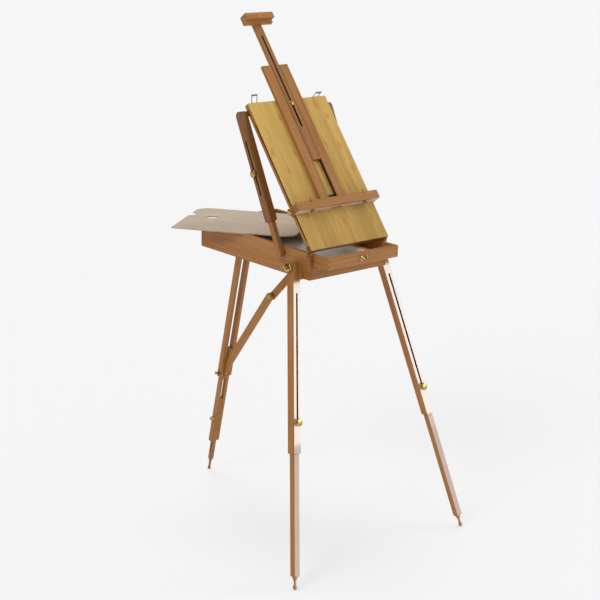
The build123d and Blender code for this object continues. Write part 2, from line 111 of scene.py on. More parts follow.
def group_tree(name, inputs, outputs):
    """An empty shader group with named sockets, and its two end nodes."""
    tree = bpy.data.node_groups.new(name, "ShaderNodeTree")
    for in_out, sockets in (("INPUT", inputs), ("OUTPUT", outputs)):
        for label, kind in sockets:
            tree.interface.new_socket(name=label, in_out=in_out, socket_type="NodeSocket" + kind)
    return tree, tree.nodes.new("NodeGroupInput").outputs, tree.nodes.new("NodeGroupOutput")


def figure_group():
    """Timber figure: rings about Z, streaks drawn out along Z, and short pores along Z."""
    tree, given, out = group_tree("timber figure", [("Vector", "Vector"), ("Ring scale", "Float")],
                                  [("Figure", "Float"), ("Pore", "Float"), ("Drift", "Float")])

    def stretched(scale, along, **more):
        drawn = wire(tree, "ShaderNodeMapping", {"Vector": given["Vector"], "Scale": (1, 1, along)})
        return noise(tree, drawn.outputs[0], scale, **more)

    long_way = wire(tree, "ShaderNodeMapping", {"Vector": given["Vector"], "Scale": (1, 1, 0.10)})
    rings = wire(tree, "ShaderNodeTexWave", {"Vector": long_way.outputs[0], "Scale": given["Ring scale"],
                                            "Distortion": 2.6, "Detail": 2.0, "Detail Scale": 0.7},
                 wave_type="RINGS", rings_direction="Z").outputs["Fac"]
    streaks = stretched(210.0, 0.03, Detail=4.0, Roughness=0.62)
    tree.links.new(sums(tree, "ADD", sums(tree, "MULTIPLY", rings, 0.10),
                        sums(tree, "MULTIPLY", streaks, 0.90)), out.inputs["Figure"])
    pores = stretched(1150.0, 0.06, Detail=1.0)
    tree.links.new(ramped(tree, pores, 0.60, 0.74), out.inputs["Pore"])
    tree.links.new(stretched(9.0, 0.35, Detail=2.0), out.inputs["Drift"])
    return tree


FIGURE = figure_group()


def within(tree, place, middle, ways):
    """1 inside a slab about `middle`: each (way, reach) limits the distance along that way."""
    moved = wire(tree, "ShaderNodeVectorMath", {0: place, 1: tuple(middle)}, operation="SUBTRACT").outputs[0]
    inside = 1.0
    for way, reach in ways:
        near = sums(tree, "LESS_THAN", sums(tree, "ABSOLUTE", along_way(tree, moved, way)), reach)
        inside = sums(tree, "MULTIPLY", near, inside)
    return inside


BEECH = ((0.262, 0.100, 0.021), (0.345, 0.145, 0.035), (0.425, 0.196, 0.056))
# The pale tint of a painted reflection, and how far it covers a face that turns to the light.
PAINTED_SHEEN_TINT, PAINTED_SHEEN_SHARE = (0.72, 0.58, 0.52, 1), 0.72
# Painted shade: the near-black painted into slots, hollows and joint lines.
PAINTED_SHADE_BLACK = (0.010, 0.006, 0.004)
UNDER_BOX = (0.908, 0.920)    # heights under the box where a leg's thick lacquer and painted pale reflection fade out into the box's shade


def timber(name, along, seed, tone=1.0, shades=BEECH, ring_scale=26.0, gloss_way=None, gloss=1.0, bores=(),
           bore_shade=PAINTED_SHADE_BLACK, painted_sheen_way=None):
    """Lacquered timber with its grain along one way; the seed says where in the log it was cut.
    gloss_way is the way that a heavily lacquered face looks, and painted_sheen_way the way of faces painted
    pale as a reflection of the light; on a leg, both end under the box, where its shade begins.
    bores are the (middle, ways) of slots, hollows and joint lines, painted in bore_shade as their shade."""
    finish = bpy.data.materials.new(name)
    finish.use_nodes = True
    tree = finish.node_tree
    shader = tree.nodes["Principled BSDF"]
    coords = wire(tree, "ShaderNodeTexCoord").outputs
    turn = Vector(along).rotation_difference(Vector((0, 0, 1))).to_euler()
    spot = ((seed * 0.37) % 0.17 + 0.05, (seed * 0.61) % 0.13 + 0.04, (seed * 1.93) % 3.1)
    cut = wire(tree, "ShaderNodeMapping", {"Vector": coords["Object"], "Rotation": turn, "Location": spot})
    figure = tree.nodes.new("ShaderNodeGroup")
    figure.node_tree = FIGURE
    tree.links.new(cut.outputs[0], figure.inputs["Vector"])
    figure.inputs["Ring scale"].default_value = ring_scale
    figure = figure.outputs
    mixed = sums(tree, "ADD", figure["Figure"], sums(tree, "MULTIPLY_ADD", figure["Drift"], 0.5, -0.25))
    ramp = wire(tree, "ShaderNodeValToRGB", {"Fac": mixed})
    stops = ramp.color_ramp.elements
    stops[0].position, stops[1].position = 0.28, 0.72
    stops.new(0.5)
    for stop, shade in zip(stops, shades):
        stop.color = (*[band * tone for band in shade], 1)
    ends = sums(tree, "ABSOLUTE", along_way(tree, coords["Normal"], along))
    ends = ramped(tree, ends, 0.75, 0.95, most=0.30)
    dark = sums(tree, "MAXIMUM", ends, sums(tree, "MULTIPLY", figure["Pore"], 0.30))
    red, green, blue = shades[0]
    colour = blended(tree, dark, ramp.outputs[0], (red * 0.55, green * 0.5, blue * 0.5, 1))
    low = 1.0
    # low is 1 below the box and 0 beside it, as painted shade of the box: there the coat and the painted
    # reflection stop, as they do inside the bores.
    if gloss_way:
        height = wire(tree, "ShaderNodeSeparateXYZ", {"Vector": coords["Object"]}).outputs[2]
        low = ramped(tree, height, *UNDER_BOX, least=1.0, most=0.0)
    # Faces along painted_sheen_way are painted pale as a reflection of the light; on a leg, only below the
    # box's shade.
    if painted_sheen_way:
        painted_sheen = ramped(tree, along_way(tree, coords["Normal"], painted_sheen_way), 0.8, 0.95, most=PAINTED_SHEEN_SHARE)
        colour = blended(tree, sums(tree, "MULTIPLY", painted_sheen, low), colour, PAINTED_SHEEN_TINT)
    # Each bore is painted in bore_shade, as the shade inside a slot, a hollow or a joint line.
    for bore in bores:
        inside = within(tree, coords["Object"], *bore)
        low = sums(tree, "MULTIPLY", low, sums(tree, "SUBTRACT", 1.0, inside))
        colour = blended(tree, inside, colour, (*bore_shade, 1))
    tree.links.new(colour, shader.inputs["Base Color"])
    tree.links.new(sums(tree, "MULTIPLY_ADD", figure["Pore"], 0.2, 0.45), shader.inputs["Roughness"])
    shader.inputs["Specular IOR Level"].default_value = 0.25
    shader.inputs["Coat Weight"].default_value = 0.06
    shader.inputs["Coat Roughness"].default_value = 0.15
    relief = sums(tree, "SUBTRACT", figure["Figure"], figure["Pore"])
    bump = wire(tree, "ShaderNodeBump", {"Height": relief, "Strength": 0.22, "Distance": 0.0004})
    tree.links.new(bump.outputs[0], shader.inputs["Normal"])
    if gloss_way:
        coat = ramped(tree, along_way(tree, coords["Normal"], gloss_way), 0.8, 0.97, most=gloss)
        tree.links.new(sums(tree, "MULTIPLY", coat, low), shader.inputs["Coat Weight"])
        shader.inputs["Coat IOR"].default_value = 2.4
        shader.inputs["Coat Roughness"].default_value = 0.05
    return finish


def fit(piece, body, replaced=()):
    """Fixes a finished piece to its body, and hides the parts that it stands for."""
    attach(piece, body)
    if replaced:
        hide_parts(*replaced)
    return piece


def eased(name, finish, width=0.7, dissolved=True):
    """The same solid with its arrises taken off by `width` millimetres; a face with a slot in it is
    kept as its triangles, because one dissolved outline can't go round the slot."""
    source = nodes[name]
    mesh = source.data.copy()
    solid = bmesh.new()
    solid.from_mesh(mesh)
    bmesh.ops.remove_doubles(solid, verts=solid.verts, dist=1e-6)
    if dissolved:
        bmesh.ops.dissolve_limit(solid, angle_limit=0.004, verts=solid.verts, edges=solid.edges)
    solid.to_mesh(mesh)
    solid.free()
    mesh.materials.clear()
    mesh.materials.append(finish)
    piece = bpy.data.objects.new(name + "_eased", mesh)
    bpy.context.scene.collection.objects.link(piece)
    bevel = piece.modifiers.new("arris", "BEVEL")
    bevel.width, bevel.segments, bevel.angle_limit = width * MM, 2, 0.7
    bevel.limit_method, bevel.use_clamp_overlap = "ANGLE", False
    return fit(piece, source["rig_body"], [name])


ALONG_X, ALONG_Y, UPRIGHT = (1, 0, 0), (0, 1, 0), (0, 0, 1)
for order, (name, along) in enumerate((
        ("box_side_left", ALONG_Y), ("box_side_right", ALONG_Y), ("box_back", ALONG_X),
        ("box_front_rail", ALONG_X), ("drawer_runners", ALONG_Y), ("leg_wedges", UPRIGHT))):
    eased(name, timber(f"{name} beech", along, order + 1.0), 0.8)
PLY = ((0.34, 0.20, 0.10), (0.45, 0.28, 0.15), (0.56, 0.37, 0.21))
eased("box_bottom", timber("bottom plywood", ALONG_Y, 7.3, shades=PLY, ring_scale=9.0), 0.3)

# ---- brass fittings of the box --------------------------------------------------------------
# Leg pivot bolts, hinge plates, lid catches and the brackets underneath: pressed or turned brass,
# lacquered, screwed to the beech with small countersunk screws.


def brass_finish(name, roughness=0.17, dim=1.0):
    """Lacquered brass: yellow with darker patches and hairline rubbing marks; dim tones it down."""
    finish = bpy.data.materials.new(name)
    finish.use_nodes = True
    tree = finish.node_tree
    shader = tree.nodes["Principled BSDF"]
    place = wire(tree, "ShaderNodeTexCoord").outputs["Object"]
    patches = noise(tree, place, 260.0, Detail=3.0)
    hairs = noise(tree, place, 2400.0, Detail=1.0)
    shades = (0.30, 0.195, 0.055), (0.66, 0.46, 0.15)
    dull, bright = ((*[band * dim for band in shade], 1) for shade in shades)
    tree.links.new(blended(tree, ramped(tree, patches, 0.35, 0.7), dull, bright), shader.inputs["Base Color"])
    tree.links.new(sums(tree, "MULTIPLY_ADD", patches, 0.16, roughness - 0.06), shader.inputs["Roughness"])
    shader.inputs["Metallic"].default_value = 1.0
    bump = wire(tree, "ShaderNodeBump", {"Height": hairs, "Strength": 0.10, "Distance": 0.0001})
    tree.links.new(bump.outputs[0], shader.inputs["Normal"])
    return finish


BRASS = brass_finish("lacquered brass")
AGED = brass_finish("aged brass", 0.34, 0.45)
WORN = ("hinge_plates_box", "hinge_straps_lid", "tray_clips")
for name in ("hinge_plates_box", "box_catches", "under_brackets", "pivot_bolts", "rear_leg_bolt",
             "brace_knee_bolt", "strut_ears", "latch_mounts", "hinge_straps_lid", "tray_clips"):
    eased(name, AGED if name in WORN else BRASS, 0.25)


def chaikin(profile, rounds=2):
    """Rounds an open outline: each round replaces every corner by two points a quarter along."""
    points = np.array(profile, float)
    for _ in range(rounds):
        quarter = points[:-1] * 0.75 + points[1:] * 0.25
        three = points[:-1] * 0.25 + points[1:] * 0.75
        points = np.vstack([points[:1], np.stack([quarter, three], 1).reshape(-1, 2), points[-1:]])
    return points


def square_to(axis):
    """Two unit vectors square to an axis and to each other."""
    axis = np.array(axis, float) / np.linalg.norm(axis)
    side = np.cross(axis, (0, 0, 1) if abs(axis[2]) < 0.9 else (1, 0, 0))
    side /= np.linalg.norm(side)
    return axis, side, np.cross(axis, side)


def turned(profile, origin, axis, sides=40, flutes=0, depth=0.0, fluted=(0.0, 0.0)):
    """A profile (radius, height) in mm turned about an axis; flutes are a cosine on the radius."""
    axis, side, other = square_to(axis)
    radius, height = np.array(profile).T * MM
    turn = np.linspace(0, 2 * np.pi, sides, endpoint=False)
    cut = ((height >= fluted[0] * MM) & (height <= fluted[1] * MM))[:, None]
    reach = radius[:, None] * (1 - cut * depth * (0.5 + 0.5 * np.cos(flutes * turn)))
    return (np.array(origin) + height[:, None, None] * axis
            + (reach * np.cos(turn))[..., None] * side + (reach * np.sin(turn))[..., None] * other)


def shell(name, grids, finish, body, replaced=(), smooth=True):
    """One mesh from grids of points; the columns of each grid close on themselves, and rows that
    meet in a point or in each other are merged, so that every part of it is a closed surface."""
    points, faces, start = [], [], 0
    for grid in grids:
        rows, columns = grid.shape[:2]
        index = start + np.arange(rows * columns).reshape(rows, columns)
        after = np.roll(index, -1, axis=1)
        faces.append(np.stack([index[:-1], after[:-1], after[1:], index[1:]], -1).reshape(-1, 4))
        points.append(grid.reshape(-1, 3))
        start += rows * columns
    mesh = bpy.data.meshes.new(name)
    mesh.from_pydata(np.vstack(points).tolist(), [], np.vstack(faces).tolist())
    solid = bmesh.new()
    solid.from_mesh(mesh)
    bmesh.ops.remove_doubles(solid, verts=solid.verts, dist=2e-6)
    bmesh.ops.recalc_face_normals(solid, faces=solid.faces)
    solid.to_mesh(mesh)
    solid.free()
    mesh.polygons.foreach_set("use_smooth", np.full(len(mesh.polygons), smooth))
    mesh.materials.append(finish)
    piece = bpy.data.objects.new(name, mesh)
    bpy.context.scene.collection.objects.link(piece)
    return fit(piece, body, replaced)


def screw_head(centre, axis, radius=2.6):
    """A low dome with a cross recess: the height falls by 0.5 mm wherever the cross passes."""
    axis, side, other = square_to(axis)
    spread = np.array([0, 0.16, 0.3, 0.44, 0.58, 0.72, 0.86, 0.95, 1.0, 1.0])
    rise = np.sqrt(np.clip(1.25 - spread ** 2, 0, None)) * 0.9 - 0.45
    rise[-1] = -0.9
    turn = np.linspace(0, 2 * np.pi, 48, endpoint=False)
    x, y = (spread[:, None] * radius * np.cos(turn)), (spread[:, None] * radius * np.sin(turn))
    cross = ((np.minimum(abs(x), abs(y)) < 0.34) & (np.hypot(x, y) < radius * 0.62))
    z = np.repeat(rise[:, None], 48, 1) - 0.5 * cross
    z[0] = z[0].mean()
    return np.array(centre) + (x[..., None] * side + y[..., None] * other + z[..., None] * axis) * MM


def screws(name, spots, body, radius=2.6):
    """Screw heads at (centre, outward way) pairs, as one piece."""
    return shell(name, [screw_head(centre, axis, radius) for centre, axis in spots], BRASS, body)


plate_spots = [((side * 0.1687, -0.252, 0.9985), (side, 0, 0)) for side in (-1, 1)]
screws("hinge_plate_screws", plate_spots, "box", 1.5)

# ---- leg pivot nuts -------------------------------------------------------------------------
# A turned brass nut with a milled rim, run up the pivot bolt by hand, clamps each front leg.
LEG_AXIS, LEG_PIVOT = (0.98066, 0, -0.195718), (-0.1876, -0.206, 0.954)
NUT = chaikin([(4.6, 15), (4.6, 0), (11, 0), (11.6, 1.4), (9.4, 2.6), (8.8, 4.2), (14.2, 6.2), (15, 7.6),
               (15, 11.4), (13.8, 13), (9.4, 14.2), (7.6, 15), (4.6, 15)])
for word, hand in (("left", 1), ("right", -1)):
    axis = np.array((-LEG_AXIS[0] * hand, 0, -LEG_AXIS[2]))
    face = np.array((LEG_PIVOT[0] * hand, *LEG_PIVOT[1:])) + axis * 0.0144
    shell(f"{word}_milled_nut", [turned(NUT, face, axis, 96, 32, 0.035, (5, 13))], BRASS,
          f"{word}_pivot_nut", replaced=[f"{word}_pivot_nut"])

# ---- drawer ---------------------------------------------------------------------------------
# Beech drawer with finger-jointed front corners, a plywood bottom, a folded sheet-metal liner for
# the paints and loose wooden dividers for brushes.
FRONT, BACK, FLOOR, TOP, HALF = -0.328, 0.212, 0.965, 1.0035, 0.152
THICK, WALL, BACK_TOP = 0.014, 0.009, TOP - 0.003
FINGERS = np.linspace(FLOOR, TOP, 6)


def comb_board(name, outline, start, end, across, finish, body, replaced):
    """A board cut to an outline and given a thickness: across 0 runs it along X, 1 along Y."""
    parts, faces = [], []
    for loop, low, high in zip(outline, start, end):
        base, count = sum(len(part) for part in parts), len(loop)
        lower, upper = np.insert(loop, across, low, axis=1), np.insert(loop, across, high, axis=1)
        parts += [lower, upper]
        ring = np.arange(count)
        faces += [(base + ring).tolist(), (base + count + ring[::-1]).tolist()]
        faces += np.stack([base + ring, base + np.roll(ring, -1), base + count + np.roll(ring, -1),
                           base + count + ring], -1).tolist()
    mesh = bpy.data.meshes.new(name)
    mesh.from_pydata(np.vstack(parts).tolist(), [], faces)
    solid = bmesh.new()
    solid.from_mesh(mesh)
    bmesh.ops.recalc_face_normals(solid, faces=solid.faces)
    solid.to_mesh(mesh)
    solid.free()
    mesh.materials.append(finish)
    piece = bpy.data.objects.new(name, mesh)
    bpy.context.scene.collection.objects.link(piece)
    bevel = piece.modifiers.new("arris", "BEVEL")
    bevel.width, bevel.segments, bevel.limit_method = 0.35 * MM, 2, "ANGLE"
    return fit(piece, body, replaced)


def toothed(edge, notch, first):
    """The stepped end of a board: (distance, height) pairs that alternate between edge and notch."""
    reach = np.where((np.arange(5) + first) % 2 == 0, edge, notch)
    return np.stack([np.repeat(reach, 2), np.repeat(FINGERS, 2)[1:-1]], -1)


left_end = toothed(-HALF, -HALF + WALL, 0)
right_end = toothed(HALF, HALF - WALL, 0)
comb_board("drawer_front_board", [np.vstack([left_end, right_end[::-1]])], [FRONT], [FRONT + THICK], 1,
           timber("drawer front beech", ALONG_X, 11.4, 1.05), "drawer", ["drawer_front"])
side_outline = np.vstack([toothed(FRONT, FRONT + THICK, 1), [(BACK, TOP), (BACK, FLOOR)]])
back_outline = np.array([(BACK - WALL, FLOOR), (BACK, FLOOR), (BACK, BACK_TOP), (BACK - WALL, BACK_TOP)])
comb_board("drawer_wall_boards", [side_outline, side_outline, back_outline],
           [-HALF, HALF - WALL, -HALF + WALL], [-HALF + WALL, HALF, HALF - WALL], 0,
           timber("drawer wall beech", ALONG_Y, 13.2, 1.02), "drawer", ["drawer_walls"])
# The drawer bottom (tone 1.4) and the dividers (tone 1.5) are made lighter as painted light, lifting the
# shade inside the drawer.
eased("drawer_bottom", timber("drawer bottom plywood", ALONG_Y, 4.1, 1.4, shades=PLY, ring_scale=9.0), 0.3)
eased("drawer_dividers", timber("divider beech", ALONG_Y, 9.6, 1.5), 0.5)


def sheet_metal():
    """Zinc-plated steel: bright and a little uneven, with rolling marks along the drawer."""
    finish = bpy.data.materials.new("plated sheet")
    finish.use_nodes = True
    tree = finish.node_tree
    shader = tree.nodes["Principled BSDF"]
    place = wire(tree, "ShaderNodeTexCoord").outputs["Object"]
    rolled = wire(tree, "ShaderNodeMapping", {"Vector": place, "Scale": (1, 0.05, 1)}).outputs[0]
    marks = noise(tree, rolled, 420.0, Detail=4.0)
    tint = blended(tree, marks, (0.74, 0.72, 0.71, 1), (0.90, 0.88, 0.87, 1))
    tree.links.new(tint, shader.inputs["Base Color"])
    tree.links.new(sums(tree, "MULTIPLY_ADD", marks, 0.22, 0.22), shader.inputs["Roughness"])
    shader.inputs["Metallic"].default_value = 0.45
    bump = wire(tree, "ShaderNodeBump", {"Height": marks, "Strength": 0.08, "Distance": 0.0002})
    tree.links.new(bump.outputs[0], shader.inputs["Normal"])
    return finish


eased("drawer_liner", sheet_metal(), 0.3)

# ---- drawer pull and catch ------------------------------------------------------------------
# A pressed brass rose with a turned pull, and beside it a flat hook on a rivet that swings up to
# hold the drawer shut.
MIDDLE = (FLOOR + TOP) / 2
OUTWARD = (0, -1, 0)
ROSE = chaikin([(0, 0.2), (7.4, 0.2), (7.6, 0.9), (6.6, 1.6), (5.4, 1.1), (4.2, 1.2), (2.6, 2.2), (2.0, 3.4),
                (2.4, 4.6), (4.4, 6.0), (5.2, 8.6), (4.6, 11.4), (2.8, 13.2), (0, 13.6)])
EYE = chaikin([(0, 0.2), (7.0, 0.2), (7.2, 0.8), (6.4, 1.3), (4.6, 1.3), (0, 1.4)])
RIVET = chaikin([(0, 4.2), (2.6, 4.2), (2.8, 5.0), (1.6, 5.9), (0, 6.1)])
pull = np.array((-0.010, FRONT, MIDDLE))
rivet = np.array((0.010, FRONT, MIDDLE))
fittings = [turned(profile, place, OUTWARD)
            for profile, place in ((ROSE, pull), (EYE, rivet), (RIVET, rivet))]
shell("drawer_pull", fittings, BRASS, "drawer", replaced=["drawer_catch_plate"])


def swept(path, across, radius, thick=None, sides=20):
    """A rod carried along a path: an ellipse of half-widths radius (in the path's plane, mm) and
    thick (along `across`), which shrinks to a point where the radius given is nought."""
    path = np.array(path, float)
    along = np.gradient(path, axis=0)
    along /= np.linalg.norm(along, axis=1)[:, None]
    across = np.array(across, float)
    sideways = np.cross(along, across)
    radius = np.broadcast_to(radius, len(path))
    thick = np.broadcast_to(radius if thick is None else thick, len(path)) * (radius > 0)
    turn = np.linspace(0, 2 * np.pi, sides, endpoint=False)
    return (path[:, None] + (radius[:, None] * np.cos(turn))[..., None] * sideways[:, None] * MM
            + (thick[:, None] * np.sin(turn))[..., None] * across * MM)


run = np.linspace(0, 1, 30)
hook_path = np.stack([rivet[0] + 0.0030 * np.sin(run * np.pi * 1.5), np.full(30, FRONT - 0.0029),
                      MIDDLE - 0.006 + 0.0185 * run], -1)
hook_width = np.where((run == 0) | (run == 1), 0.0, 1.8 + 4.0 * np.exp(-((run - 0.33) / 0.16) ** 2)
                      + 0.9 * np.exp(-((run - 0.9) / 0.08) ** 2))
shell("drawer_hook", [swept(hook_path, OUTWARD, hook_width, 1.2)], BRASS, "drawer_catch",
      replaced=["drawer_catch_hook"])

# ---- palette --------------------------------------------------------------------------------
# A thin plywood palette, sanded and sealed to a dull warm grey, with its layers showing on the edge.


def palette_ply():
    """Grey-brown veneer with faint grain along the board; layers by height on the edge."""
    finish = bpy.data.materials.new("sealed plywood")
    finish.use_nodes = True
    tree = finish.node_tree
    shader = tree.nodes["Principled BSDF"]
    coords = wire(tree, "ShaderNodeTexCoord").outputs
    cut = wire(tree, "ShaderNodeMapping", {"Vector": coords["Object"], "Rotation": (0, 0, 0.9477)})
    drawn = wire(tree, "ShaderNodeMapping", {"Vector": cut.outputs[0], "Scale": (0.04, 1, 1)})
    grain = noise(tree, drawn.outputs[0], 170.0, Detail=4.0)
    drift = noise(tree, coords["Object"], 7.0, Detail=2.0)
    mixed = sums(tree, "ADD", sums(tree, "MULTIPLY", grain, 0.7), sums(tree, "MULTIPLY", drift, 0.3))
    face = blended(tree, ramped(tree, mixed, 0.3, 0.7), (0.480, 0.385, 0.290, 1), (0.640, 0.530, 0.420, 1))
    apart = wire(tree, "ShaderNodeSeparateXYZ", {"Vector": coords["Object"]}).outputs[2]
    layers = sums(tree, "SINE", sums(tree, "MULTIPLY", apart, 4700.0))
    edge = blended(tree, ramped(tree, layers, -0.4, 0.4), (0.30, 0.20, 0.12, 1), (0.56, 0.43, 0.29, 1))
    flat = sums(tree, "ABSOLUTE", along_way(tree, coords["Normal"], UPRIGHT))
    whole = blended(tree, sums(tree, "GREATER_THAN", flat, 0.5), edge, face)
    tree.links.new(whole, shader.inputs["Base Color"])
    tree.links.new(sums(tree, "MULTIPLY_ADD", grain, 0.2, 0.42), shader.inputs["Roughness"])
    bump = wire(tree, "ShaderNodeBump", {"Height": grain, "Strength": 0.2, "Distance": 0.0002})
    tree.links.new(bump.outputs[0], shader.inputs["Normal"])
    return finish


eased("palette", palette_ply(), 0.5)

# ---- lid ------------------------------------------------------------------------------------
# A frame of slotted beech stiles and two rails, with a panel of edge-glued pine strips on its face
# and the hinges, strut ears and latches screwed to its edges.
TILT = np.radians(52)
UP_LID = np.array((0, np.cos(TILT), np.sin(TILT)))
OFF_LID = np.array((0, -np.sin(TILT), np.cos(TILT)))


def on_lid(x, up, off):
    """A place on the lid from millimetres across, up the lid from its hinge, and off its underside."""
    return np.array((x * MM, -0.252, 1.0075)) + (up * UP_LID + off * OFF_LID) * MM


# The slot along each stile is painted dark brown, as the shade inside it.
SIDE_SLOT = (on_lid(0, 0, 12.5), [((1, 0, 0), 0.1652), (OFF_LID, 0.00245)])
eased("lid_frame", timber("lid frame beech", tuple(UP_LID), 17.5, bores=[SIDE_SLOT],
                         bore_shade=(0.085, 0.038, 0.015)), 0.5, dissolved=False)


STRIPS = 17.0    # to the metre


def pine_panel():
    """Edge-glued pine: strips of differing tone, fine streaks up the panel, and small brown knots."""
    finish = bpy.data.materials.new("pine strips")
    finish.use_nodes = True
    tree = finish.node_tree
    shader = tree.nodes["Principled BSDF"]
    coords = wire(tree, "ShaderNodeTexCoord").outputs
    cut = wire(tree, "ShaderNodeMapping", {"Vector": coords["Object"], "Location": (0.168, 0.1, 0),
                                          "Rotation": (-float(TILT), 0, 0)}).outputs[0]
    apart = wire(tree, "ShaderNodeSeparateXYZ", {"Vector": cut}).outputs
    strip = sums(tree, "FLOOR", sums(tree, "MULTIPLY", apart[0], STRIPS))
    strip_tone = wire(tree, "ShaderNodeTexWhiteNoise", {"W": strip}, noise_dimensions="1D").outputs[0]
    shift = wire(tree, "ShaderNodeCombineXYZ", {0: 0.0, 1: sums(tree, "MULTIPLY", strip_tone, 3.0), 2: 0.0})
    moved = wire(tree, "ShaderNodeVectorMath", {0: cut, 1: shift.outputs[0]}, operation="ADD").outputs[0]
    drawn = wire(tree, "ShaderNodeMapping", {"Vector": moved, "Scale": (1, 0.035, 1)}).outputs[0]
    streak = noise(tree, drawn, 260.0, Detail=4.0)
    broad = noise(tree, drawn, 45.0, Detail=2.0)
    oval = wire(tree, "ShaderNodeMapping", {"Vector": moved, "Scale": (1, 0.42, 0)}).outputs[0]
    bent = wire(tree, "ShaderNodeTexNoise", {"Vector": oval, "Scale": 55.0, "Detail": 2.0}).outputs["Color"]
    wander = wire(tree, "ShaderNodeMix", {"Factor": 0.012, "A": oval, "B": bent}, data_type="VECTOR")
    knot = wire(tree, "ShaderNodeTexVoronoi", {"Vector": wander.outputs[1], "Scale": 17.0},
                voronoi_dimensions="2D").outputs["Distance"]
    knot = wire(tree, "ShaderNodeMapRange", {"Value": knot, "From Min": 0.03, "From Max": 0.17,
                                            "To Min": 0.62, "To Max": 0.0},
                interpolation_type="SMOOTHSTEP").outputs[0]
    tone = sums(tree, "ADD", sums(tree, "MULTIPLY", streak, 0.45), sums(tree, "MULTIPLY", broad, 0.30))
    tone = sums(tree, "MULTIPLY_ADD", strip_tone, 0.14, tone)
    # The tone also rises from the hinge end of the panel to its top.
    tone = sums(tree, "ADD", tone, ramped(tree, apart[1], 0.74, 1.27, -0.08, 0.14))
    ramp = wire(tree, "ShaderNodeValToRGB", {"Fac": tone})
    stops = ramp.color_ramp.elements
    stops[0].position, stops[0].color = 0.30, (0.40, 0.235, 0.052, 1)
    stops[1].position, stops[1].color = 0.60, (0.62, 0.400, 0.108, 1)
    warm = blended(tree, knot, ramp.outputs[0], (0.50, 0.17, 0.022, 1))
    line = sums(tree, "FRACT", sums(tree, "MULTIPLY", apart[0], STRIPS))
    line = sums(tree, "MULTIPLY", sums(tree, "LESS_THAN", line, 0.012), 0.35)
    tree.links.new(blended(tree, line, warm, (0.25, 0.13, 0.03, 1)), shader.inputs["Base Color"])
    tree.links.new(sums(tree, "MULTIPLY_ADD", streak, 0.2, 0.48), shader.inputs["Roughness"])
    shader.inputs["Specular IOR Level"].default_value = 0.2
    bump = wire(tree, "ShaderNodeBump", {"Height": streak, "Strength": 0.2, "Distance": 0.0003})
    tree.links.new(bump.outputs[0], shader.inputs["Normal"])
    return finish


eased("lid_panel", pine_panel(), 0.5)
edge_screws = [(on_lid(side * 168.1, 504, 3.5), (side, 0, 0)) for side in (-1, 1)]
edge_screws += [(on_lid(side * 171.1, 14, 6.5), (side, 0, 0)) for side in (-1, 1)]
edge_screws += [(on_lid(side * x, 532.5, 13), tuple(UP_LID)) for side in (-1, 1) for x in (123, 137)]
screws("lid_fitting_screws", edge_screws, "lid", 1.7)

# ---- lid latches ----------------------------------------------------------------------------
# Draw latches: a bent wire loop hooked in each mount, with a rolled brass claw on its free end.
# One stands up, and the other has swung forwards. The wire's lacquer has worn dull.


def bail(side, lean):
    """A rounded-square wire loop, a superellipse swept by a small circle, and the claw across it."""
    pivot = on_lid(side * 130, 535, 8)
    rise = np.sin(lean) * UP_LID + np.cos(lean) * OFF_LID
    outside = np.cross((1, 0, 0), rise)
    turn = np.linspace(0, 2 * np.pi, 97)
    power = 0.36
    x = 11.0 * np.sign(np.cos(turn)) * abs(np.cos(turn)) ** power
    z = 13.4 + 13.4 * np.sign(np.sin(turn)) * abs(np.sin(turn)) ** power
    loop = pivot + (x[:, None] * np.array((1, 0, 0)) + z[:, None] * rise) * MM
    ends = np.array([-12.5, -12.3, -11.6, -9.0, 0, 9.0, 11.6, 12.3, 12.5])
    claw = pivot + (ends[:, None] * np.array((1, 0, 0)) + 26.9 * rise) * MM
    thick = np.array([0, 1.3, 1.9, 2.1, 2.1, 2.1, 1.9, 1.3, 0])
    lip_path = pivot + (ends[:, None] * 0.8 * np.array((1, 0, 0)) + 24.6 * rise + 1.6 * outside) * MM
    return [swept(loop, outside, 1.2, sides=14), swept(claw, outside, thick),
            swept(lip_path, outside, thick * 0.5)]


shell("left_latch_loop", bail(-1, np.radians(52)), AGED, "latch_left", replaced=["latch_bail_left"])
shell("right_latch_loop", bail(1, np.radians(6)), AGED, "latch_right", replaced=["latch_bail_right"])

# ---- canvas tray, mast and slider -----------------------------------------------------------
# Beech bar with end cheeks, clamped in the lid's slots; two grooved rails stand on it, and a
# tongued slider with a long slot runs between them and carries the holder for the canvas's top edge.
# The tray's underside is painted pale, as a reflection of the bright floor and light.
eased("canvas_tray", timber("canvas tray beech", ALONG_X, 21.3, 1.04, painted_sheen_way=tuple(-UP_LID)), 0.6)
ALONG_LID = tuple(UP_LID)
# The rails' faces along the channel, the slider's long slot and the joint lines at its sides are painted
# black, as the shade in them.
CHANNEL = [(on_lid(0, 395, 25), [(ALONG_X, 0.0189), (ALONG_LID, 0.262)])]
LONG_SLOT = [(on_lid(0, 595, 25), [(ALONG_X, 0.0036), (ALONG_LID, 0.1732), (OFF_LID, 0.0088)])]
JOINTS = [(on_lid(side * 17.5, 477, 25), [(ALONG_X, 0.0007), (ALONG_LID, 0.178)]) for side in (-1, 1)]
for name, along, seed, tone, bores in (
        ("tray_cheeks", ALONG_LID, 22.8, 1.0, ()), ("mast_rails", ALONG_LID, 24.1, 1.0, CHANNEL),
        ("mast_slider", ALONG_LID, 26.7, 0.94, LONG_SLOT + JOINTS),
        ("canvas_holder", ALONG_X, 28.2, 1.08, ())):
    eased(name, timber(f"{name} beech", along, seed, tone, bores=bores), 0.6)
MAST_FRONT = 31.9
holder_spots = [(on_lid(0, 828, MAST_FRONT + 31), tuple(OFF_LID))]
holder_spots += [(on_lid(side * 58.5, 827, MAST_FRONT + 16), (side, 0, 0)) for side in (-1, 1)]
screws("holder_screws", holder_spots, "slider", 2.8)
